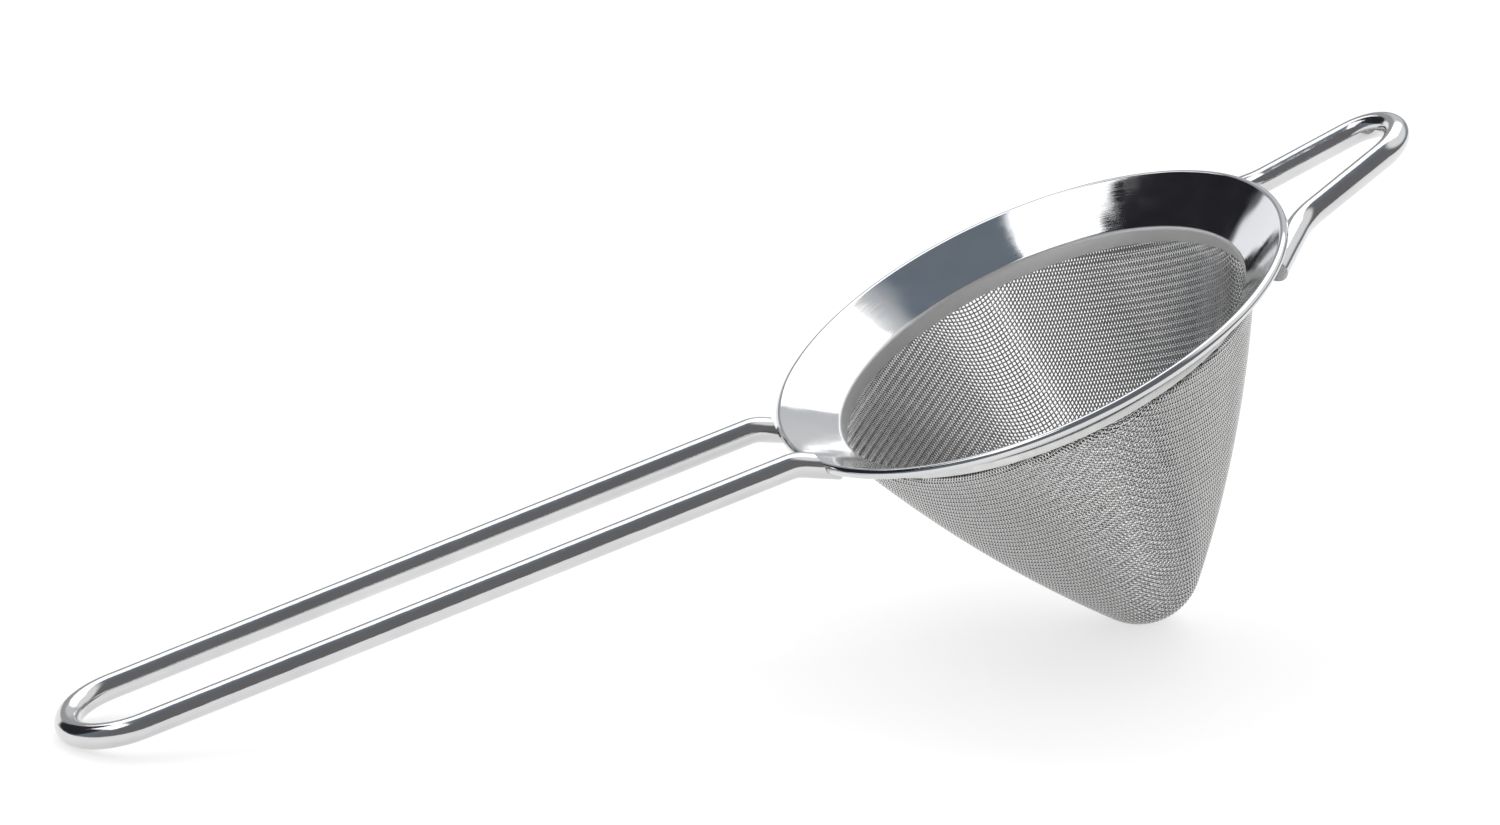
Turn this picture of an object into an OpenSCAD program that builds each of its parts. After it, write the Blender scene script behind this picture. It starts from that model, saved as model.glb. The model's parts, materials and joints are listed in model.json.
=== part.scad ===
// Conical tea strainer of stainless steel, lying on a table on its handle's end and its tip.
// Every piece is drawn in the rim's own frame: the curled edge is a circle in the plane z = 0,
// the handle runs along -X and the rest loop along +X. Module "lying" then sets it down.

/* [Rim] */
// Diameter of the rim, at the middle of its curled edge
rim_d = 90; // [84:0.5:96]
// Diameter of the curled edge
curl_d = 1.7; // [1.4:0.1:2]
// Thickness of the pressed sheet
sheet_t = 0.5; // [0.4:0.05:0.6]
// Inside diameter of the collar, which is the mouth over the mesh
mouth_d = 72.4; // [70:0.2:74]
// Outside radius of the bend between the flange and the collar
bend_r = 0.9; // [0.8:0.05:1.1]
// Depth of that bend's centre below the curl
flange_drop = 5.3; // [4.8:0.1:5.8]
// Depth of the collar's lower edge below the curl
collar_drop = 7.7; // [7.2:0.1:8.4]

/* [Mesh] */
// Thickness of the woven wire, taken as a plain sheet
mesh_t = 0.4; // [0.3:0.05:0.5]
// Depth of the tip below the curl
mesh_depth = 58.9; // [54:0.1:64]
// Outside radius of the rounded tip
tip_r = 10.6; // [9:0.1:12]
// How far the side stands out from a straight line
mesh_bulge = 1.5; // [1:0.1:2.5]

/* [Clamp ring] */
// Thickness of the ring round the top of the mesh
clamp_t = 0.5; // [0.4:0.05:0.6]
// Height of the ring
clamp_h = 1.1; // [0.8:0.1:1.3]

/* [Handle] */
// Diameter of the handle's and the rest loop's wire
wire_d = 4.3; // [4:0.1:4.6]
// Distance between the centres of the handle's two legs
handle_w = 20.4; // [18:0.2:24]
// Distance from the rim's centre to the middle of the handle's end
handle_reach = 173.2; // [150:0.2:190]
// Height of the handle's end above the rim's plane
handle_rise = 20.1; // [16:0.1:24]
// Radius of the bend where each leg turns down under the flange
elbow_r = 6; // [4:0.5:8]

/* [Rest loop] */
// Distance from the rim's centre to the middle of the loop's tip
loop_reach = 70.2; // [64:0.2:76]
// Radius of the loop's tip
loop_tip_r = 7.3; // [6:0.1:8]
// Distance between the centres of the loop's two legs at the rim
loop_w = 22; // [20:0.2:24]
// Depth of the loop's wire below the curl at the rim
loop_drop = 3; // [2.9:0.1:3.4]
// Depth of the loop's tip below the curl
loop_tip_drop = 1.1; // [0.5:0.1:2.5]

/* [Hidden] */
$fn = 96;

// Gap left between pieces that are pressed or welded together
touch = 0.02;
// How far the short swell at each joint of the wires stands out
swell = 0.1;
// How far each wire run and bend stops short of the joint between them
joint_gap = 0.1;
// The same two sizes at the rest loop's knees, where two runs meet at an angle
knee_swell = 0.45;
knee_gap = 1.3;
// Reach of the cutting shapes past what they cut
over = 5;
rim_r = rim_d / 2;
curl_r = curl_d / 2;
wire_r = wire_d / 2;

// The flange's top line touches the curl and the bend at the collar
bend_x = mouth_d / 2 + bend_r;
flange_a = atan2(flange_drop, rim_r - bend_x)
         + asin((curl_r - bend_r) / norm([rim_r - bend_x, flange_drop]));
flange_top_out = [rim_r - curl_r * sin(flange_a), curl_r * cos(flange_a)];
flange_top_in = [bend_x - bend_r * sin(flange_a), bend_r * cos(flange_a) - flange_drop];

// Height of the flange's underside at radius r
function underside(r) = flange_top_in[1] + (r - flange_top_in[0]) * tan(flange_a)
                      - sheet_t / cos(flange_a);

// The mesh: a hem round the collar, an arc down the side, and a ball-shaped tip that it touches
hem_r = mouth_d / 2 + sheet_t + touch;
hem_top = flange_drop + 0.2;
hem_bottom = collar_drop - 0.6;
mesh_r = hem_r + mesh_t;
tip_z = tip_r - mesh_depth;
side_top = [mesh_r, -hem_bottom];
side_run = norm(side_top - [0, tip_z]);
side_lean = atan2(side_top[1] - tip_z, mesh_r) - acos(tip_r / side_run);
side_foot = [tip_r * cos(side_lean), tip_z + tip_r * sin(side_lean)];
side_chord = norm(side_top - side_foot);
arc_r = side_chord * side_chord / (8 * mesh_bulge) + mesh_bulge / 2;
// The arc's centre is arc_r from the side's top and arc_r - tip_r from the tip's centre
arc_along = (arc_r * arc_r - pow(arc_r - tip_r, 2) + side_run * side_run) / (2 * side_run);
arc_across = sqrt(arc_r * arc_r - arc_along * arc_along);
to_tip = ([0, tip_z] - side_top) / side_run;
arc_c = side_top + arc_along * to_tip + arc_across * [to_tip[1], -to_tip[0]];
// Direction from the arc's centre through the tip's, which points at where the two meet
meet = ([0, tip_z] - arc_c) / norm([0, tip_z] - arc_c);

// The clamp ring grips the hem just under the flange
clamp_r = mesh_r + touch;
clamp_top = underside(clamp_r) - touch;

// Each handle leg turns down at the elbow, and its foot lies along the flange's underside
leg_y = handle_w / 2;
foot_sink = 0.3;
foot_x = 41.4;
elbow_x = 48;
function foot_z(x) = underside(norm([x, leg_y])) - foot_sink;
foot_a = atan2(foot_z(elbow_x) - foot_z(foot_x), elbow_x - foot_x);
handle_a = atan2(handle_rise - foot_z(elbow_x), handle_reach - elbow_x);
handle_run = norm([handle_reach - elbow_x, handle_rise - foot_z(elbow_x)]);
elbow_turn = foot_a - handle_a;
elbow_back = elbow_r * tan(elbow_turn / 2);

// The rest loop's legs run from its rounded tip to the rim, then spread out under the flange
loop_x = 46.5;
loop_a = atan2(loop_drop - loop_tip_drop, loop_reach - loop_x);
loop_run = norm([loop_reach - loop_x, loop_drop - loop_tip_drop]);
loop_c = loop_run - loop_tip_r;
loop_far = norm([loop_c, loop_w / 2]);
loop_touch = 180 - atan2(loop_w / 2, loop_c) - acos(loop_tip_r / loop_far);
pad_r = 42.3;
pad_a = 30;
pad_end = [pad_r * cos(pad_a), pad_r * sin(pad_a), underside(pad_r) - 0.98 * wire_r / cos(flange_a)];

// Tilt that brings the handle's end and the mesh's tip down to one level
rest_v = [handle_reach, tip_z - handle_rise];
tilt = asin((tip_r - wire_r) / norm(rest_v)) - atan2(rest_v[1], rest_v[0]);
floor_z = tip_z * cos(tilt) - tip_r;
low_x = -handle_reach * cos(tilt) - handle_rise * sin(tilt) - wire_r;
high_x = loop_reach * cos(tilt) + loop_tip_drop * sin(tilt) + wire_r;

// Sets a piece down as it lies, with the origin under the middle of the whole strainer
module lying() {
    translate([-(low_x + high_x) / 2, 0, -floor_z])
        rotate([0, -tilt, 0])
            children();
}

// A bend of round wire in the plane of X and Y, from angle "from" through angle "turn"
module wire_bend(r, from, turn) {
    trim = atan2(joint_gap, r);
    rotate([0, 0, from + trim])
        rotate_extrude(angle = turn - 2 * trim)
            translate([r, 0])
                circle(d = wire_d);
}

// The short swell of the wire at a joint, where a run goes over into a bend or into another run
module joint_at(p, out = swell) {
    translate(p)
        rotate([0, 90, 0])
            sphere(r = wire_r + out);
}

// A straight run of wire from joint a to joint b, which leaves a gap at each
module run(a, b, gap_a = joint_gap, gap_b = joint_gap) {
    v = b - a;
    translate(a + gap_a * v / norm(v))
        rotate([0, acos(v[2] / norm(v)), atan2(v[1], v[0])])
            cylinder(h = norm(v) - gap_a - gap_b, d = wire_d);
}

// The area under the flange and round the collar, drawn in by "inset" and cut off at radius "out"
module under_flange(inset, out, low) {
    top_in = flange_top_in + inset * [sin(flange_a), -cos(flange_a)];
    translate([bend_x, -flange_drop])
        circle(r = bend_r - inset);
    polygon([
        [out, top_in[1] + (out - top_in[0]) * tan(flange_a)],
        top_in,
        [mouth_d / 2 + inset, -flange_drop],
        [mouth_d / 2 + inset, -low],
        [out, -low],
    ]);
}

// Half of the section of the rim: curl, sloping flange, bend and collar
module rim_section() {
    translate([rim_r, 0])
        circle(r = curl_r);
    difference() {
        under_flange(0, flange_top_out[0], collar_drop);
        under_flange(sheet_t, rim_r + over, collar_drop + over);
    }
}

module rim_flange() {
    color("silver")
        lying()
            rotate_extrude()
                rim_section();
}

module clamp_ring() {
    color("darkgray")
        lying()
            translate([0, 0, clamp_top - clamp_h])
                difference() {
                    cylinder(r = clamp_r + clamp_t, h = clamp_h);
                    translate([0, 0, -over])
                        cylinder(r = clamp_r, h = clamp_h + 2 * over);
                    rotate_extrude()
                        translate([0, clamp_h])
                            polygon([[clamp_r - over, -over * tan(flange_a)], [clamp_r, 0],
                                     [clamp_r + over, over * tan(flange_a)], [clamp_r - over, over * 2]]);
                }
}

// Everything inside the mesh's outer skin, drawn in by "inset"
module mesh_area(inset) {
    meet_z = tip_z + (tip_r - inset) * meet[1];
    intersection() {
        translate(arc_c)
            circle(r = arc_r - inset, $fn = 720);
        translate([0, meet_z])
            square([rim_r, -hem_bottom - meet_z]);
    }
    intersection() {
        translate([0, tip_z])
            circle(r = tip_r - inset);
        translate([0, tip_z - tip_r])
            square(2 * tip_r);
    }
}

module mesh_cone() {
    color("gainsboro")
        lying()
            rotate_extrude() {
                difference() {
                    mesh_area(0);
                    mesh_area(mesh_t);
                }
                translate([hem_r, -hem_bottom - touch])
                    square([mesh_t, hem_bottom - hem_top + touch]);
            }
}

// What the rim takes out of the wires that are pressed against it: the curl and all above the sheet
module rim_clearance() {
    rotate_extrude() {
        translate([rim_r, 0])
            circle(r = curl_r + touch);
        polygon([
            [mouth_d / 2, underside(mouth_d / 2) - touch],
            [rim_r, underside(rim_r) - touch],
            [rim_r + curl_r + touch, 0],
            [rim_r + curl_r + touch, 2 * over],
            [mouth_d / 2, 2 * over],
        ]);
    }
}

// One leg of the handle on the side y: straight run, elbow and foot
module handle_leg(y) {
    translate([-elbow_x, y, foot_z(elbow_x)]) {
        rotate([0, handle_a, 0]) {
            joint_at([-elbow_back, 0, 0]);
            run([-elbow_back, 0, 0], [leg_y - handle_run, 0, 0]);
            joint_at([leg_y - handle_run, 0, 0]);
        }
        rotate([0, foot_a, 0]) {
            joint_at([elbow_back, 0, 0]);
            run([elbow_back, 0, 0], [(elbow_x - foot_x) / cos(foot_a), 0, 0]);
        }
        rotate([90, 0, 0])
            rotate([0, 0, -handle_a])
                translate([-elbow_back, -elbow_r])
                    wire_bend(elbow_r, 90 - elbow_turn, elbow_turn);
    }
}

module handle_wire() {
    color("lightgray")
        lying()
            difference() {
                union() {
                    handle_leg(leg_y);
                    handle_leg(-leg_y);
                    translate([-elbow_x, 0, foot_z(elbow_x)])
                        rotate([0, handle_a, 0])
                            translate([leg_y - handle_run, 0, 0])
                                wire_bend(leg_y, 90, 180);
                }
                rim_clearance();
            }
}

// One leg of the rest loop, on the side given by the sign: leg, knee and pad under the flange
module loop_leg(side) {
    knee = [loop_x, side * loop_w / 2, -loop_drop];
    foot = [pad_end[0], side * pad_end[1], pad_end[2]];
    reach = loop_c + loop_tip_r * cos(loop_touch);
    far = [
        loop_x + reach * cos(loop_a),
        side * loop_tip_r * sin(loop_touch),
        reach * sin(loop_a) - loop_drop,
    ];
    joint_at(far);
    run(knee, far, knee_gap);
    joint_at(knee, knee_swell);
    run(knee, foot, knee_gap);
}

module rest_loop() {
    color("lightgray")
        lying()
            difference() {
                union() {
                    loop_leg(1);
                    loop_leg(-1);
                    translate([loop_x, 0, -loop_drop])
                        rotate([0, -loop_a, 0])
                            translate([loop_c, 0, 0])
                                wire_bend(loop_tip_r, -loop_touch, 2 * loop_touch);
                }
                rim_clearance();
            }
}

rim_flange();
clamp_ring();
mesh_cone();
handle_wire();
rest_loop();
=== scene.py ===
import json
import math

import bpy
import numpy as np
from mathutils import Matrix, Vector


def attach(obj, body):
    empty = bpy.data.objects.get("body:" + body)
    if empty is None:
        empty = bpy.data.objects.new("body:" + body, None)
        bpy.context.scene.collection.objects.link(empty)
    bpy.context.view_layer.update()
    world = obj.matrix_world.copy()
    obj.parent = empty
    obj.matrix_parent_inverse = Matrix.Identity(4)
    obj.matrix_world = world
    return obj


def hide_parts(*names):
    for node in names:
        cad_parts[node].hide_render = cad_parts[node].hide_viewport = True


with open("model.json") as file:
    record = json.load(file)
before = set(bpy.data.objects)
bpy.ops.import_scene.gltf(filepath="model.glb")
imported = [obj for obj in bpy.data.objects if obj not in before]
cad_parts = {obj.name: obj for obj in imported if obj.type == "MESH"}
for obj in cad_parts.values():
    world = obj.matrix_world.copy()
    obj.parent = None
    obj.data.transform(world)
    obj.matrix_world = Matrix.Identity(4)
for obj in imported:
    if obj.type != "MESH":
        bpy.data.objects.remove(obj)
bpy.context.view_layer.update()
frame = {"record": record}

# A conical tea strainer of stainless steel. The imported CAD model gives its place: the collar's
# mount carries the rim's axis, and every piece below is drawn in the rim's own frame, where the
# curled edge is a circle in the plane z = 0, the handle runs along -X and the rest loop along +X.
# Sizes are millimetres in that frame, and MM turns them into metres.
MM = 0.001

# Rim
RIM_R = 45.0
CURL_R = 0.85
SHEET = 0.5
MOUTH_R = 36.2
BEND_R = 0.9
FLANGE_DROP = 5.3
COLLAR_DROP = 7.7
BEND_X = MOUTH_R + BEND_R
FLANGE_A = math.atan2(FLANGE_DROP, RIM_R - BEND_X) \
    + math.asin((CURL_R - BEND_R) / math.hypot(RIM_R - BEND_X, FLANGE_DROP))
COLLAR_EDGE_R = 0.15
# The open seam under the curled edge: its angle, and how near it comes to the curl's centre
SEAM = math.radians(16)
SLOT_R = 0.5
RIM_SIDES = 540

# Mesh
MESH_R = 37.12
MESH_TOP = -7.1
MESH_DEPTH = 58.9
TIP_R = 10.6
BULGE = 1.5
PITCH = 0.7
STRAND_R = 0.14
STRAND_SIDES = 6
# The mesh swells outwards by HEM_OUT over HEM_SWELL, from HEM_START below the top of its side
HEM_OUT = 0.2
HEM_START = 2.4
HEM_SWELL = 2.0
HEM_END = -5.85
NEWTON_STEPS = 8
# Name of the attribute that carries the painted shade on the strands' sides that face the holes
PAINTED_GAP_SHADE = "painted_gap_shade"

# Clamp ring
RING_IN = 37.14
RING_T = 0.5
RING_H = 1.1
RING_EDGE_R = 0.12
RING_SIDES = 360

# Handle and rest loop
WIRE_R = 2.15
WIRE_SIDES = 48
LEG_Y = 10.2
HANDLE_REACH = 173.2
HANDLE_RISE = 20.1
ELBOW_X = 48.0
ELBOW_R = 6.0
FOOT_X = 41.4
FOOT_SINK = 0.3
LOOP_REACH = 70.2
LOOP_TIP_R = 7.3
LOOP_TIP_Y = 5.9
LOOP_TIP_DROP = 1.1
LOOP_X = 46.5
LOOP_Y = 11.0
LOOP_DROP = 3.0
KNEE_R = 10.0
PAD_R = 42.3
PAD_A = math.radians(30)
# How far the pads' middle stands off the flange, in wire radii
PAD_PRESS = 0.98
# Gap left between pieces that are pressed together
GAP = 0.02

# Most of a noise texture lies between these two values
NOISE_LOW, NOISE_HIGH = 0.3, 0.7

# The room that the metal shows: place from the front (0) to the back (1), and colour
ROOM_SHADES = (
    (0.3, (0.17, 0.17, 0.18)),
    (0.55, (0.18, 0.22, 0.265)),
    (0.95, (0.4, 0.41, 0.42)),
)
# Patches in it, each over the ones before: azimuth, elevation, inner and outer angle, colour
ROOM_PATCHES = (
    (151, 28, 12, 22, (0.7, 0.71, 0.73)),
    (95, 50, 28, 42, (0.95, 0.95, 0.95)),
    (-130, 28, 27, 32, (0.02, 0.02, 0.025)),
    (-168, 6, 9, 13, (1.1, 1.1, 1.12)),
)
# The even room that everything else sees
PALE_ROOM = (0.92, 0.92, 0.92)


def rim_matrix():
    """The rim's frame in the row frame, from the collar's mount."""
    collar = next(m for m in frame["record"]["mounts"] if m["name"] == "mouth_collar")
    up = Vector(collar["axis"]).normalized()
    across = Vector((0, 1, 0))
    along = across.cross(up)
    centre = Vector(collar["pos_m"]) + up * (FLANGE_DROP + COLLAR_DROP) / 2 * MM
    matrix = Matrix((along, across, up)).transposed().to_4x4()
    matrix.translation = centre
    return matrix


RIM = rim_matrix()


# ---------------------------------------------------------------- mesh helpers

def arc(centre, radius, start, end, count):
    """Points on an arc in the plane of radius and height, from angle start to angle end."""
    angles = np.linspace(start, end, count)
    return [(centre[0] + radius * math.cos(a), centre[1] + radius * math.sin(a)) for a in angles]


def between(a, b, parts):
    """The points that split the line from a to b into that many parts, without either end."""
    a, b = np.array(a), np.array(b)
    return [tuple(a + (b - a) * t) for t in np.linspace(0, 1, parts + 1)[1:-1]]


def placed(points):
    """Points from millimetres in the rim's frame to metres in the row frame."""
    return np.asarray(points, float) * MM @ np.array(RIM.to_3x3()).T + np.array(RIM.translation)


def new_piece(name, points, faces, material, sharp=35):
    """A smooth-shaded piece from points in millimetres in the rim's frame, placed on the strainer."""
    mesh = bpy.data.meshes.new(name)
    mesh.from_pydata(placed(points).tolist(), [], faces)
    mesh.shade_smooth()
    mesh.set_sharp_from_angle(angle=math.radians(sharp))
    mesh.materials.append(material)
    piece = bpy.data.objects.new(name, mesh)
    bpy.context.scene.collection.objects.link(piece)
    return piece


def settle(piece, *nodes):
    """The piece rides with the strainer and stands for these CAD nodes."""
    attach(piece, "root")
    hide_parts(*nodes)


def ring_faces(rings, sides, closed):
    """Quads between neighbouring rings of points, and round to the first ring if closed."""
    faces = []
    for k in range(rings if closed else rings - 1):
        here, there = k * sides, (k + 1) % rings * sides
        faces += [
            (here + i, here + (i + 1) % sides, there + (i + 1) % sides, there + i)
            for i in range(sides)
        ]
    return faces


def rod_faces(rings, sides):
    """The side faces and the two flat ends of a rod through these rings of points."""
    last = (rings - 1) * sides
    ends = [tuple(range(sides - 1, -1, -1)), tuple(range(last, last + sides))]
    return ring_faces(rings, sides, False) + ends


def revolve(profile, segments):
    """Points and faces of a closed profile, a list of (radius, height), turned about the axis."""
    profile = np.asarray(profile, float)
    turns = np.linspace(0, 2 * math.pi, segments, endpoint=False)
    rings = [
        np.column_stack([profile[:, 0] * math.cos(t), profile[:, 0] * math.sin(t), profile[:, 1]])
        for t in turns
    ]
    return np.vstack(rings), ring_faces(segments, len(profile), True)


def rounded_path(corners, radii, step):
    """Dense points along straight runs, with each inner corner rounded to its radius."""
    corners = [np.asarray(c, float) for c in corners]
    path = [corners[0]]
    for before, here, after, radius in zip(corners, corners[1:], corners[2:], radii):
        u = (before - here) / np.linalg.norm(before - here)
        v = (after - here) / np.linalg.norm(after - here)
        half = math.acos(np.clip(u @ v, -1, 1)) / 2
        back = radius / math.tan(half)
        inward = (u + v) / np.linalg.norm(u + v)
        centre = here + inward * radius / math.sin(half)
        first = here + u * back - centre
        side = -u * radius
        turn = math.pi - 2 * half
        # twice as dense as the straight runs
        count = max(int(turn * radius / step * 2), 8)
        angles = np.linspace(0, turn, count)
        bend = [centre + first * math.cos(t) + side * math.sin(t) for t in angles]
        path += straight(path[-1], bend[0], step) + bend
    return np.array(path + straight(path[-1], corners[-1], step) + [corners[-1]])


def straight(a, b, step):
    """Points between a and b, without either."""
    count = max(int(np.linalg.norm(b - a) / step), 1)
    return [a + (b - a) * k / count for k in range(1, count)]


def sweep(path, radius, sides):
    """Points and faces of a round rod along the path, with flat ends."""
    tangents = np.gradient(path, axis=0)
    tangents /= np.linalg.norm(tangents, axis=1)[:, None]
    # any direction will do except the one that the path starts along
    normal = np.cross(tangents[0], (0, 1, 0.3))
    turns = np.linspace(0, 2 * math.pi, sides, endpoint=False)
    rings = []
    for point, tangent in zip(path, tangents):
        normal = normal - (normal @ tangent) * tangent
        normal /= np.linalg.norm(normal)
        other = np.cross(tangent, normal)
        ring = np.outer(np.cos(turns), normal) + np.outer(np.sin(turns), other)
        rings.append(point + radius * ring)
    return np.vstack(rings), rod_faces(len(path), sides)


# ---------------------------------------------------------------- materials

def new_material(name, metallic=1.0):
    """A Principled material, with its node tree, its shader and its coordinates in the rim's frame."""
    material = bpy.data.materials.new(name)
    material.use_nodes = True
    tree = material.node_tree
    shader = tree.nodes["Principled BSDF"]
    shader.inputs["Metallic"].default_value = metallic
    coords = tree.nodes.new("ShaderNodeTexCoord").outputs["Object"]
    mapping = tree.nodes.new("ShaderNodeMapping")
    mapping.vector_type = "TEXTURE"
    mapping.inputs["Location"].default_value = RIM.translation
    mapping.inputs["Rotation"].default_value = RIM.to_euler()
    tree.links.new(coords, mapping.inputs["Vector"])
    return material, tree, shader, mapping.outputs["Vector"]


def noise(tree, vector, scale, detail):
    """A noise texture's value along the vector."""
    node = tree.nodes.new("ShaderNodeTexNoise")
    node.inputs["Scale"].default_value = scale
    node.inputs["Detail"].default_value = detail
    tree.links.new(vector, node.inputs["Vector"])
    return node.outputs["Fac"]


def spread(tree, value, low, high):
    """The noise value, taken to between low and high."""
    node = tree.nodes.new("ShaderNodeMapRange")
    node.inputs["From Min"].default_value = NOISE_LOW
    node.inputs["From Max"].default_value = NOISE_HIGH
    node.inputs["To Min"].default_value = low
    node.inputs["To Max"].default_value = high
    tree.links.new(value, node.inputs["Value"])
    return node.outputs["Result"]


def stretched(tree, vector, scale):
    """The vector, scaled apart along each axis."""
    node = tree.nodes.new("ShaderNodeVectorMath")
    node.operation = "MULTIPLY"
    node.inputs[1].default_value = scale
    tree.links.new(vector, node.inputs[0])
    return node.outputs["Vector"]


def around_axis(tree, vector):
    """The distance from the rim's axis and the height, as a vector, for marks that run round it."""
    flat = stretched(tree, vector, (1, 1, 0))
    length = tree.nodes.new("ShaderNodeVectorMath")
    length.operation = "LENGTH"
    tree.links.new(flat, length.inputs[0])
    split = tree.nodes.new("ShaderNodeSeparateXYZ")
    tree.links.new(vector, split.inputs[0])
    join = tree.nodes.new("ShaderNodeCombineXYZ")
    tree.links.new(length.outputs["Value"], join.inputs["X"])
    tree.links.new(split.outputs["Z"], join.inputs["Y"])
    return join.outputs["Vector"]


def bump(tree, shader, layers):
    """Bumps of (height, depth in metres) stacked on the shader's normal."""
    normal = None
    for height, depth in layers:
        node = tree.nodes.new("ShaderNodeBump")
        node.inputs["Strength"].default_value = 1
        node.inputs["Distance"].default_value = depth
        tree.links.new(height, node.inputs["Height"])
        if normal:
            tree.links.new(normal, node.inputs["Normal"])
        normal = node.outputs["Normal"]
    tree.links.new(normal, shader.inputs["Normal"])


def tinted(tree, shader, value, dark, light):
    """The shader's colour, running from dark to light over the noise value."""
    ramp = tree.nodes.new("ShaderNodeValToRGB")
    ramp.color_ramp.elements[0].position = NOISE_LOW
    ramp.color_ramp.elements[0].color = (*dark, 1)
    ramp.color_ramp.elements[1].position = NOISE_HIGH
    ramp.color_ramp.elements[1].color = (*light, 1)
    tree.links.new(value, ramp.inputs["Fac"])
    tree.links.new(ramp.outputs["Color"], shader.inputs["Base Color"])


def blend(tree, factor, under, over):
    """What is under, covered by what is over as far as the factor says."""
    node = tree.nodes.new("ShaderNodeMix")
    node.data_type = "RGBA"
    tree.links.new(factor, node.inputs["Factor"])
    for color, name in ((under, "A"), (over, "B")):
        if isinstance(color, tuple):
            node.inputs[name].default_value = (*color, 1)
        else:
            tree.links.new(color, node.inputs[name])
    return node.outputs["Result"]


def recolour(tree, shader, factor, over):
    """Covers the shader's colour by another as far as the factor says."""
    under = shader.inputs["Base Color"].links[0].from_socket
    tree.links.new(blend(tree, factor, under, over), shader.inputs["Base Color"])


def collar_mask(tree, about):
    """1 on the collar's inner wall and 0 on the flange, by the distance from the rim's axis."""
    split = tree.nodes.new("ShaderNodeSeparateXYZ")
    tree.links.new(about, split.inputs[0])
    ease = tree.nodes.new("ShaderNodeMapRange")
    ease.inputs["From Min"].default_value = (MOUTH_R + 0.35) * MM
    ease.inputs["From Max"].default_value = (MOUTH_R + 0.1) * MM
    tree.links.new(split.outputs["X"], ease.inputs["Value"])
    return ease.outputs["Result"]


def polished_rim():
    """Mirror-polished pressed sheet: slight waves of the pressing and fine lines round the axis.

    The collar's inner wall is satin, and its colour is painted paler as a painted reflection of the
    pale floor."""
    material, tree, shader, coords = new_material("polished_rim")
    about = around_axis(tree, coords)
    lines = noise(tree, stretched(tree, about, (9000, 9000, 1)), scale=1.0, detail=4.0)
    waves = noise(tree, coords, scale=55, detail=1.5)
    smears = noise(tree, coords, scale=220, detail=4.0)
    # the collar's inner wall: rougher, and painted paler as a painted reflection
    satin_and_painted_sheen = collar_mask(tree, about)
    polish = spread(tree, smears, low=0.035, high=0.12)
    tree.links.new(blend(tree, satin_and_painted_sheen, polish, (0.55, 0.55, 0.55)), shader.inputs["Roughness"])
    tinted(tree, shader, waves, dark=(0.64, 0.65, 0.67), light=(0.71, 0.71, 0.71))
    # painted reflection: the collar's inner wall is painted paler
    recolour(tree, shader, satin_and_painted_sheen, (0.95, 0.95, 0.94))
    bump(tree, shader, [(waves, 0.0006), (lines, 0.000005)])
    return material


def polished_wire():
    """Polished drawn wire: faint lines along it and a slight unevenness."""
    material, tree, shader, coords = new_material("polished_wire")
    lines = noise(tree, stretched(tree, coords, (150, 5000, 5000)), scale=1.0, detail=3.0)
    waves = noise(tree, coords, scale=90, detail=2.0)
    tree.links.new(spread(tree, lines, low=0.06, high=0.17), shader.inputs["Roughness"])
    tinted(tree, shader, waves, dark=(0.62, 0.62, 0.63), light=(0.7, 0.7, 0.7))
    bump(tree, shader, [(waves, 0.0002), (lines, 0.0000015)])
    return material


def ring_steel():
    """Satin strip with grain round the axis."""
    material, tree, shader, coords = new_material("ring_steel")
    along = stretched(tree, around_axis(tree, coords), (7000, 7000, 1))
    grain = noise(tree, along, scale=1.0, detail=4.0)
    blotch = noise(tree, coords, scale=300, detail=3.0)
    tree.links.new(spread(tree, grain, low=0.22, high=0.4), shader.inputs["Roughness"])
    tinted(tree, shader, blotch, dark=(0.55, 0.55, 0.54), light=(0.7, 0.7, 0.69))
    bump(tree, shader, [(grain, 0.000004)])
    return material


def woven_mesh():
    """Bright drawn wire, uneven in tone from strand to strand, with painted shade on the sides of the
    strands that face the holes.
    """
    material, tree, shader, coords = new_material("woven_mesh")
    tone = noise(tree, coords, scale=900, detail=3.0)
    fine = noise(tree, coords, scale=6000, detail=2.0)
    tree.links.new(spread(tree, tone, low=0.04, high=0.1), shader.inputs["Roughness"])
    tinted(tree, shader, tone, dark=(0.76, 0.76, 0.75), light=(0.97, 0.97, 0.96))
    # painted shade: the sides of the strands that face the holes are painted dark
    side = tree.nodes.new("ShaderNodeAttribute")
    side.attribute_name = PAINTED_GAP_SHADE
    recolour(tree, shader, side.outputs["Fac"], (0.14, 0.14, 0.14))
    bump(tree, shader, [(fine, 0.000005)])
    return material


# ---------------------------------------------------------------- rim and clamp ring

def underside(radius):
    """Height of the flange's underside at that radius."""
    return -FLANGE_DROP + BEND_R * math.cos(FLANGE_A) - SHEET / math.cos(FLANGE_A) \
        + (radius - BEND_X + BEND_R * math.sin(FLANGE_A)) * math.tan(FLANGE_A)


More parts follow.
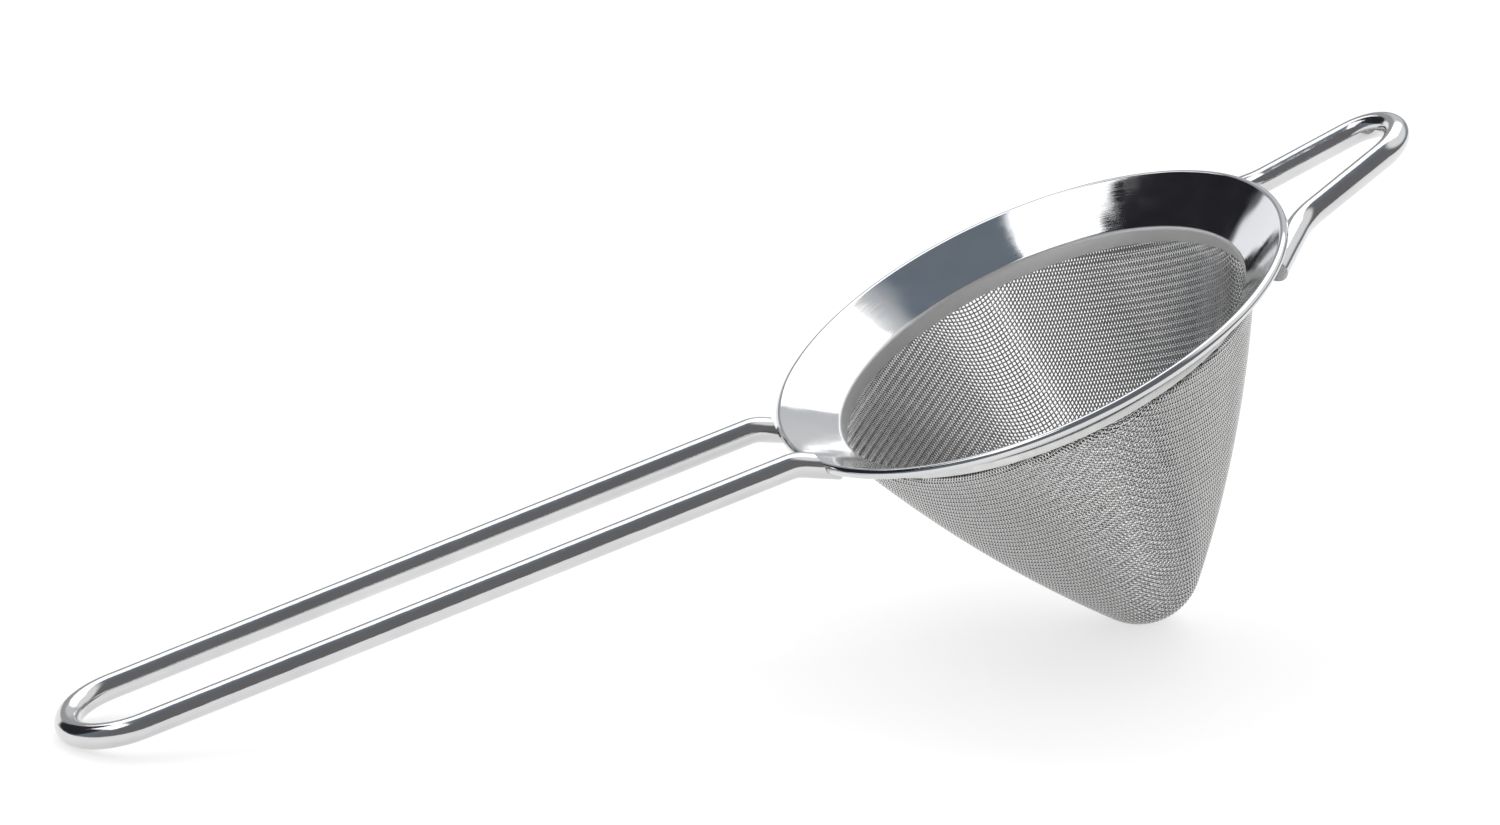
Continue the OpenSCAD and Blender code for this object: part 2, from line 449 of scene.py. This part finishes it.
def rim_profile():
    """The rim's section: collar, bend, flange, rolled edge with its seam, and back underneath."""
    bend = (BEND_X, -FLANGE_DROP)
    up = math.pi / 2 + FLANGE_A
    inner_r = CURL_R - SHEET
    roll_end = up - 2 * math.pi + math.acos(inner_r / CURL_R) + SEAM
    slot_along = math.sqrt(SLOT_R**2 - inner_r**2)
    slot_x = RIM_R - inner_r * math.sin(FLANGE_A) - slot_along * math.cos(FLANGE_A)
    top = arc(bend, BEND_R, math.pi, up, 20)
    roll = arc((RIM_R, 0), CURL_R, up, roll_end, 72)
    slot = [
        (RIM_R + SLOT_R * math.cos(roll_end), SLOT_R * math.sin(roll_end)),
        (slot_x, underside(slot_x)),
    ]
    below = arc(bend, BEND_R - SHEET, up, math.pi, 14)
    run = between(top[-1], roll[0], 17)
    back = between(slot[-1], below[0], 15)
    edge_z = COLLAR_EDGE_R - COLLAR_DROP
    outer_x = MOUTH_R + SHEET - COLLAR_EDGE_R
    edge = arc((outer_x, edge_z), COLLAR_EDGE_R, 0, -math.pi / 2, 6) \
        + arc((MOUTH_R + COLLAR_EDGE_R, edge_z), COLLAR_EDGE_R, -math.pi / 2, -math.pi, 6)
    return top + run + roll + slot + back + below + edge


def make_rim(material):
    """The rim: one pressed sheet with its curled edge."""
    points, faces = revolve(rim_profile(), RIM_SIDES)
    settle(new_piece("rim_polished", points, faces, material), "rim_flange")


def make_clamp_ring(material):
    """The strip round the hem, with its outer edges rounded."""
    top = underside(RING_IN) - GAP
    low = top - RING_H
    lean = RING_T * math.tan(FLANGE_A)
    edge_x = RING_IN + RING_T - RING_EDGE_R
    profile = [(RING_IN, top)] \
        + arc((edge_x, top + lean - 2 * RING_EDGE_R), RING_EDGE_R, math.pi / 2, 0, 6) \
        + arc((edge_x, low + RING_EDGE_R), RING_EDGE_R, 0, -math.pi / 2, 6) \
        + [(RING_IN, low)]
    points, faces = revolve(profile, RING_SIDES)
    settle(new_piece("clamp_strip", points, faces, material), "clamp_ring")


# ---------------------------------------------------------------- handle and rest loop

def rim_cutter():
    """What the rim takes out of the wires pressed against it: the roll and all above the sheet."""
    reach = 10.0
    roll_r = CURL_R + GAP
    start = math.pi / 2 + FLANGE_A + math.acos((CURL_R - SHEET - GAP) / roll_r)
    inner = MOUTH_R - 1
    profile = [(inner, reach), (RIM_R + roll_r, reach)] \
        + arc((RIM_R, 0), roll_r, 2 * math.pi, start, 40) \
        + [(inner, underside(inner) - GAP)]
    points, faces = revolve(profile, RING_SIDES)
    mesh = bpy.data.meshes.new("rim_cutter")
    mesh.from_pydata(placed(points).tolist(), [], faces)
    cutter = bpy.data.objects.new("rim_cutter", mesh)
    bpy.context.scene.collection.objects.link(cutter)
    return cutter


def cut_to_rim(piece, cutter):
    """Takes the rim's room out of the piece, with the boolean applied to its mesh."""
    modifier = piece.modifiers.new("cut", "BOOLEAN")
    modifier.operation = "DIFFERENCE"
    modifier.object = cutter
    modifier.solver = "EXACT"
    bpy.context.view_layer.update()
    evaluated = piece.evaluated_get(bpy.context.evaluated_depsgraph_get())
    mesh = bpy.data.meshes.new_from_object(evaluated)
    piece.modifiers.clear()
    piece.data = mesh
    mesh.shade_smooth()
    mesh.set_sharp_from_angle(angle=math.radians(30))


def handle_path():
    """The hairpin: foot, elbow, long leg, round end, and the same back on the other side."""
    def foot_z(x):
        return underside(math.hypot(x, LEG_Y)) - FOOT_SINK

    half = [
        (-FOOT_X, LEG_Y, foot_z(FOOT_X)),
        (-ELBOW_X, LEG_Y, foot_z(ELBOW_X)),
        (-HANDLE_REACH, LEG_Y, HANDLE_RISE),
    ]
    other = [(x, -y, z) for x, y, z in reversed(half)]
    # a hair under half the width, so that the two bends of the round end don't meet
    end_r = LEG_Y - 0.001
    return rounded_path(half + other, [ELBOW_R, end_r, end_r, ELBOW_R], step=0.6)


def loop_path():
    """The rest loop: pad under the flange, knee, leg, round tip, and back on the other side."""
    pad_z = underside(PAD_R) - PAD_PRESS * WIRE_R / math.cos(FLANGE_A)
    half = [
        (PAD_R * math.cos(PAD_A), PAD_R * math.sin(PAD_A), pad_z),
        (LOOP_X, LOOP_Y, -LOOP_DROP),
        (LOOP_REACH, LOOP_TIP_Y, -LOOP_TIP_DROP),
    ]
    other = [(x, -y, z) for x, y, z in reversed(half)]
    return rounded_path(half + other, [KNEE_R, LOOP_TIP_R, LOOP_TIP_R, KNEE_R], step=0.4)


def make_wire(name, path, material, cutter, node):
    """A bent round wire along the path, cut to fit against the rim."""
    points, faces = sweep(path, WIRE_R, WIRE_SIDES)
    piece = new_piece(name, points, faces, material)
    cut_to_rim(piece, cutter)
    settle(piece, node)


# ---------------------------------------------------------------- woven mesh

def cloth_profile():
    """The cloth's middle surface as arrays of distance from the tip, radius and height."""
    tip = np.array([0, TIP_R - MESH_DEPTH])
    top = np.array([MESH_R, MESH_TOP])
    run = np.linalg.norm(top - tip)
    lean = math.atan2(top[1] - tip[1], MESH_R) - math.acos(TIP_R / run)
    foot = tip + TIP_R * np.array([math.cos(lean), math.sin(lean)])
    chord = np.linalg.norm(top - foot)
    side_r = chord**2 / (8 * BULGE) + BULGE / 2
    along = (side_r**2 - (side_r - TIP_R) ** 2 + run**2) / (2 * run)
    to_tip = (tip - top) / run
    across = math.sqrt(side_r**2 - along**2)
    centre = top + along * to_tip + across * np.array([to_tip[1], -to_tip[0]])
    meet = math.atan2(*(tip - centre)[::-1])
    end = math.atan2(*(top - centre)[::-1])
    inset = 2 * STRAND_R
    points = arc(tip, TIP_R - inset, -math.pi / 2, meet, 120)
    points += arc(centre, side_r - inset, meet, end, 560)[1:]
    # the straight hem, with a little to spare past its end
    points += [(points[-1][0], z) for z in np.linspace(points[-1][1], HEM_END + 1, 30)[1:]]
    r, z = np.array(points).T
    rise = np.clip((z - MESH_TOP + HEM_START) / HEM_SWELL, 0, 1)
    r = r + HEM_OUT * rise**2 * (3 - 2 * rise)
    s = np.concatenate([[0], np.cumsum(np.hypot(np.diff(r), np.diff(z)))])
    return s, r, z


def pressed_net(profile):
    """One quarter of a square cloth pressed into the cone: where strand i crosses strand j.

    Each crossing keeps one pitch from the two before it, so the squares close up into diamonds
    between the four lines where the strands run straight down the cone.
    Returns the distance from the tip and the turn about the axis of each crossing."""
    s_at, r_at, z_at = profile
    slope_r, slope_z = np.gradient(r_at, s_at), np.gradient(z_at, s_at)
    count = int(s_at[-1] / PITCH)
    s = np.full((count, count), np.nan)
    turn = np.full((count, count), np.nan)
    s[:, 0] = s[0, :] = np.arange(count) * PITCH
    turn[:, 0], turn[0, :] = 0, math.pi / 2

    def place(s, t):
        r = np.interp(s, s_at, r_at)
        return np.stack([r * np.cos(t), r * np.sin(t), np.interp(s, s_at, z_at)], -1)

    for diagonal in range(2, 2 * count - 1):
        i = np.arange(max(1, diagonal - count + 1), min(diagonal, count))
        j = diagonal - i
        keep = ~np.isnan(s[i - 1, j]) & ~np.isnan(s[i, j - 1])
        i, j = i[keep], j[keep]
        if len(i) == 0:
            break
        a = place(s[i - 1, j], turn[i - 1, j])
        b = place(s[i, j - 1], turn[i, j - 1])
        d = place(s[i - 1, j - 1], turn[i - 1, j - 1]) if diagonal > 2 else place(0.0, 0.0)
        guess = a + b - d
        t_new = np.arctan2(guess[:, 1], guess[:, 0])
        s_new = np.interp(guess[:, 2], z_at, s_at)
        if diagonal == 2:
            # the tip is too flat there for the height to give the distance
            s_new = np.array([PITCH * math.sqrt(2)])
        for _ in range(NEWTON_STEPS):
            p = place(s_new, t_new)
            r, dr, dz = (np.interp(s_new, s_at, v) for v in (r_at, slope_r, slope_z))
            by_s = np.stack([dr * np.cos(t_new), dr * np.sin(t_new), dz], -1)
            by_t = np.stack([-r * np.sin(t_new), r * np.cos(t_new), 0 * r], -1)
            fa = ((p - a) ** 2).sum(1) - PITCH**2
            fb = ((p - b) ** 2).sum(1) - PITCH**2
            m00, m01 = 2 * ((p - a) * by_s).sum(1), 2 * ((p - a) * by_t).sum(1)
            m10, m11 = 2 * ((p - b) * by_s).sum(1), 2 * ((p - b) * by_t).sum(1)
            det = m00 * m11 - m01 * m10
            s_new = s_new - (m11 * fa - m01 * fb) / det
            t_new = t_new - (m00 * fb - m10 * fa) / det
        s_new[s_new > s_at[-1] - PITCH / 2] = np.nan
        s[i, j], turn[i, j] = s_new, t_new
    return s, turn


def strand(s, turn, over, profile):
    """Points and normals of one strand, crimped over and under the strands that it crosses."""
    s_at, r_at, z_at = profile
    r, z = np.interp(s, s_at, r_at), np.interp(s, s_at, z_at)
    dr = np.interp(s, s_at, np.gradient(r_at, s_at))
    dz = np.interp(s, s_at, np.gradient(z_at, s_at))
    points = np.stack([r * np.cos(turn), r * np.sin(turn), z], -1)
    normals = np.stack([dz * np.cos(turn), dz * np.sin(turn), -dr], -1)
    return points + normals * (over * STRAND_R)[:, None], normals


def crossing(net, i, j):
    """Distance and turn where strand i of one family crosses strand j of the other.

    The net is one quarter of the cloth, and the other three are the same, turned about the axis."""
    s, turn = net
    if i >= 0 and j >= 0:
        return s[i, j], turn[i, j]
    if i < 0 <= j:
        return s[j, -i], turn[j, -i] + math.pi / 2
    if i < 0 and j < 0:
        return s[-i, -j], turn[-i, -j] + math.pi
    return s[-j, i], turn[-j, i] + 1.5 * math.pi


def strand_rows(net, family, number, s_end):
    """Distance, turn and over (1) or under (-1) at each crossing of one strand, up to the hem's end."""
    count = len(net[0])
    rows = []
    for other in range(1 - count, count):
        i, j = (number, other) if family == "warp" else (other, number)
        s, turn = crossing(net, i, j)
        if not np.isnan(s) and s < s_end:
            over = 1 if (number + other) % 2 == 0 else -1
            rows.append((s, turn, over if family == "warp" else -over))
    return rows


def strand_rings(rows, profile, angles):
    """Rings of points round one strand, one for each crossing."""
    s, turn, over = np.array(rows).T
    middle, normals = strand(s, turn, over, profile)
    tangent = np.gradient(middle, axis=0)
    aside = np.cross(tangent, normals)
    aside /= np.linalg.norm(aside, axis=1)[:, None]
    return middle[:, None] + STRAND_R * (
        np.cos(angles)[None, :, None] * normals[:, None]
        + np.sin(angles)[None, :, None] * aside[:, None]
    )


def make_weave(material):
    """The plain weave, as four pieces: two for each direction of strand."""
    profile = cloth_profile()
    net = pressed_net(profile)
    count = len(net[0])
    s_end = float(np.interp(HEM_END, profile[2], profile[0]))
    angles = np.linspace(0, 2 * math.pi, STRAND_SIDES, endpoint=False)
    # painted shade: how far each side of a strand faces the holes, 1 at the sides and 0 at the top and
    # bottom
    painted_shade_by_side = np.abs(np.sin(angles))
    for family in ("warp", "weft"):
        for half, numbers in enumerate((range(1 - count, 0), range(0, count))):
            points, faces, base = [], [], 0
            for number in numbers:
                rows = strand_rows(net, family, number, s_end)
                if len(rows) < 3:
                    continue
                faces += [tuple(base + v for v in f) for f in rod_faces(len(rows), STRAND_SIDES)]
                points.append(strand_rings(rows, profile, angles).reshape(-1, 3))
                base += len(points[-1])
            name = f"{family}_strands_{half + 1}"
            piece = new_piece(name, np.vstack(points), faces, material, sharp=180)
            # the painted shade, stored on each point of the strands
            side = piece.data.attributes.new(PAINTED_GAP_SHADE, "FLOAT", "POINT")
            side.data.foreach_set("value", np.tile(painted_shade_by_side, base // STRAND_SIDES))
            settle(piece, "mesh_cone")


# ---------------------------------------------------------------- floor, light and camera

def make_floor():
    """A wide pale floor under the strainer, with a glow of its own that keeps its shadows faint."""
    material, tree, shader, coords = new_material("pale_floor", metallic=0.0)
    shader.inputs["Roughness"].default_value = 0.6
    blotch = noise(tree, coords, scale=3, detail=2.0)
    tinted(tree, shader, blotch, dark=(0.39, 0.39, 0.39), light=(0.41, 0.41, 0.41))
    shader.inputs["Emission Color"].default_value = (1, 1, 1, 1)
    shader.inputs["Emission Strength"].default_value = 0.58
    reach = 4.0
    corners = [(-reach, -reach, 0), (reach, -reach, 0), (reach, reach, 0), (-reach, reach, 0)]
    mesh = bpy.data.meshes.new("floor")
    mesh.from_pydata(corners, [], [(0, 1, 2, 3)])
    mesh.materials.append(material)
    floor = bpy.data.objects.new("floor", mesh)
    bpy.context.scene.collection.objects.link(floor)


def toward(azimuth, elevation):
    """The direction at that azimuth and elevation in degrees; azimuth 0 is -Y, and 90 is +X."""
    a, e = math.radians(azimuth), math.radians(elevation)
    return Vector((math.sin(a) * math.cos(e), -math.cos(a) * math.cos(e), math.sin(e)))


def softbox(name, azimuth, elevation, distance, target, size, radiance):
    """A rectangular soft light, in metres, that faces the target from that azimuth and elevation."""
    place = target + toward(azimuth, elevation) * distance
    light = bpy.data.lights.new(name, "AREA")
    light.shape = "RECTANGLE"
    light.size, light.size_y = size
    light.energy = radiance * math.pi * size[0] * size[1]
    lamp = bpy.data.objects.new(name, light)
    bpy.context.scene.collection.objects.link(lamp)
    lamp.location = place
    lamp.rotation_euler = (target - place).to_track_quat("-Z", "Y").to_euler()


def patch(tree, vector, azimuth, elevation, inner, outer):
    """1 within the inner angle of that direction, in degrees, and falling to 0 at the outer one."""
    node = tree.nodes.new("ShaderNodeVectorMath")
    node.operation = "DOT_PRODUCT"
    node.inputs[1].default_value = toward(azimuth, elevation)
    tree.links.new(vector, node.inputs[0])
    ease = tree.nodes.new("ShaderNodeMapRange")
    ease.interpolation_type = "SMOOTHSTEP"
    ease.inputs["From Min"].default_value = math.cos(math.radians(outer))
    ease.inputs["From Max"].default_value = math.cos(math.radians(inner))
    tree.links.new(node.outputs["Value"], ease.inputs["Value"])
    return ease.outputs["Result"]


def make_world():
    """The room: even and pale to the floor and the camera, and uneven to what reflects it.

    In the metal it is dark before the strainer and grey behind it, with four patches."""
    world = bpy.data.worlds.new("studio")
    bpy.context.scene.world = world
    world.use_nodes = True
    tree = world.node_tree
    ray = tree.nodes.new("ShaderNodeTexCoord").outputs["Generated"]
    split = tree.nodes.new("ShaderNodeSeparateXYZ")
    tree.links.new(ray, split.inputs[0])
    shift = tree.nodes.new("ShaderNodeMapRange")
    shift.inputs["From Min"].default_value = -1
    tree.links.new(split.outputs["Y"], shift.inputs["Value"])
    ramp = tree.nodes.new("ShaderNodeValToRGB")
    elements = ramp.color_ramp.elements
    elements.new(ROOM_SHADES[1][0])
    for element, (position, color) in zip(elements, ROOM_SHADES):
        element.position, element.color = position, (*color, 1)
    tree.links.new(shift.outputs["Result"], ramp.inputs["Fac"])
    room = ramp.outputs["Color"]
    for azimuth, elevation, inner, outer, color in ROOM_PATCHES:
        room = blend(tree, patch(tree, ray, azimuth, elevation, inner, outer), room, color)
    glossy = tree.nodes.new("ShaderNodeLightPath").outputs["Is Glossy Ray"]
    room = blend(tree, glossy, PALE_ROOM, room)
    tree.links.new(room, tree.nodes["Background"].inputs["Color"])


def make_camera():
    """The camera stands to the front left, looking slightly down with a long lens.

    Returns the point that it looks at."""
    distance = 1.6
    target = Vector((0.00534, 0.01101, 0.04034))
    back = toward(-19.11, 17.43)
    data = bpy.data.cameras.new("camera")
    data.sensor_width = 36
    data.lens = 231.2
    data.clip_start, data.clip_end = 0.05, 50
    camera = bpy.data.objects.new("camera", data)
    bpy.context.scene.collection.objects.link(camera)
    camera.location = target + back * distance
    camera.rotation_euler = back.to_track_quat("Z", "Y").to_euler()
    bpy.context.scene.camera = camera
    return target


def make_studio():
    """The camera, the floor, the room and two soft lights."""
    target = make_camera()
    bpy.context.scene.view_settings.view_transform = "Standard"
    make_floor()
    make_world()
    softbox("back_light", 162, 58, distance=1.3, target=target, size=(1.5, 0.95), radiance=1.5)
    softbox("left_light", -97, 54, distance=1.2, target=target, size=(0.9, 0.4), radiance=1.8)


make_studio()
wire_steel = polished_wire()
make_rim(polished_rim())
make_clamp_ring(ring_steel())
cutter = rim_cutter()
make_wire("handle_polished", handle_path(), wire_steel, cutter, "handle_wire")
make_wire("rest_loop_polished", loop_path(), wire_steel, cutter, "rest_loop")
bpy.data.objects.remove(cutter)
make_weave(woven_mesh())
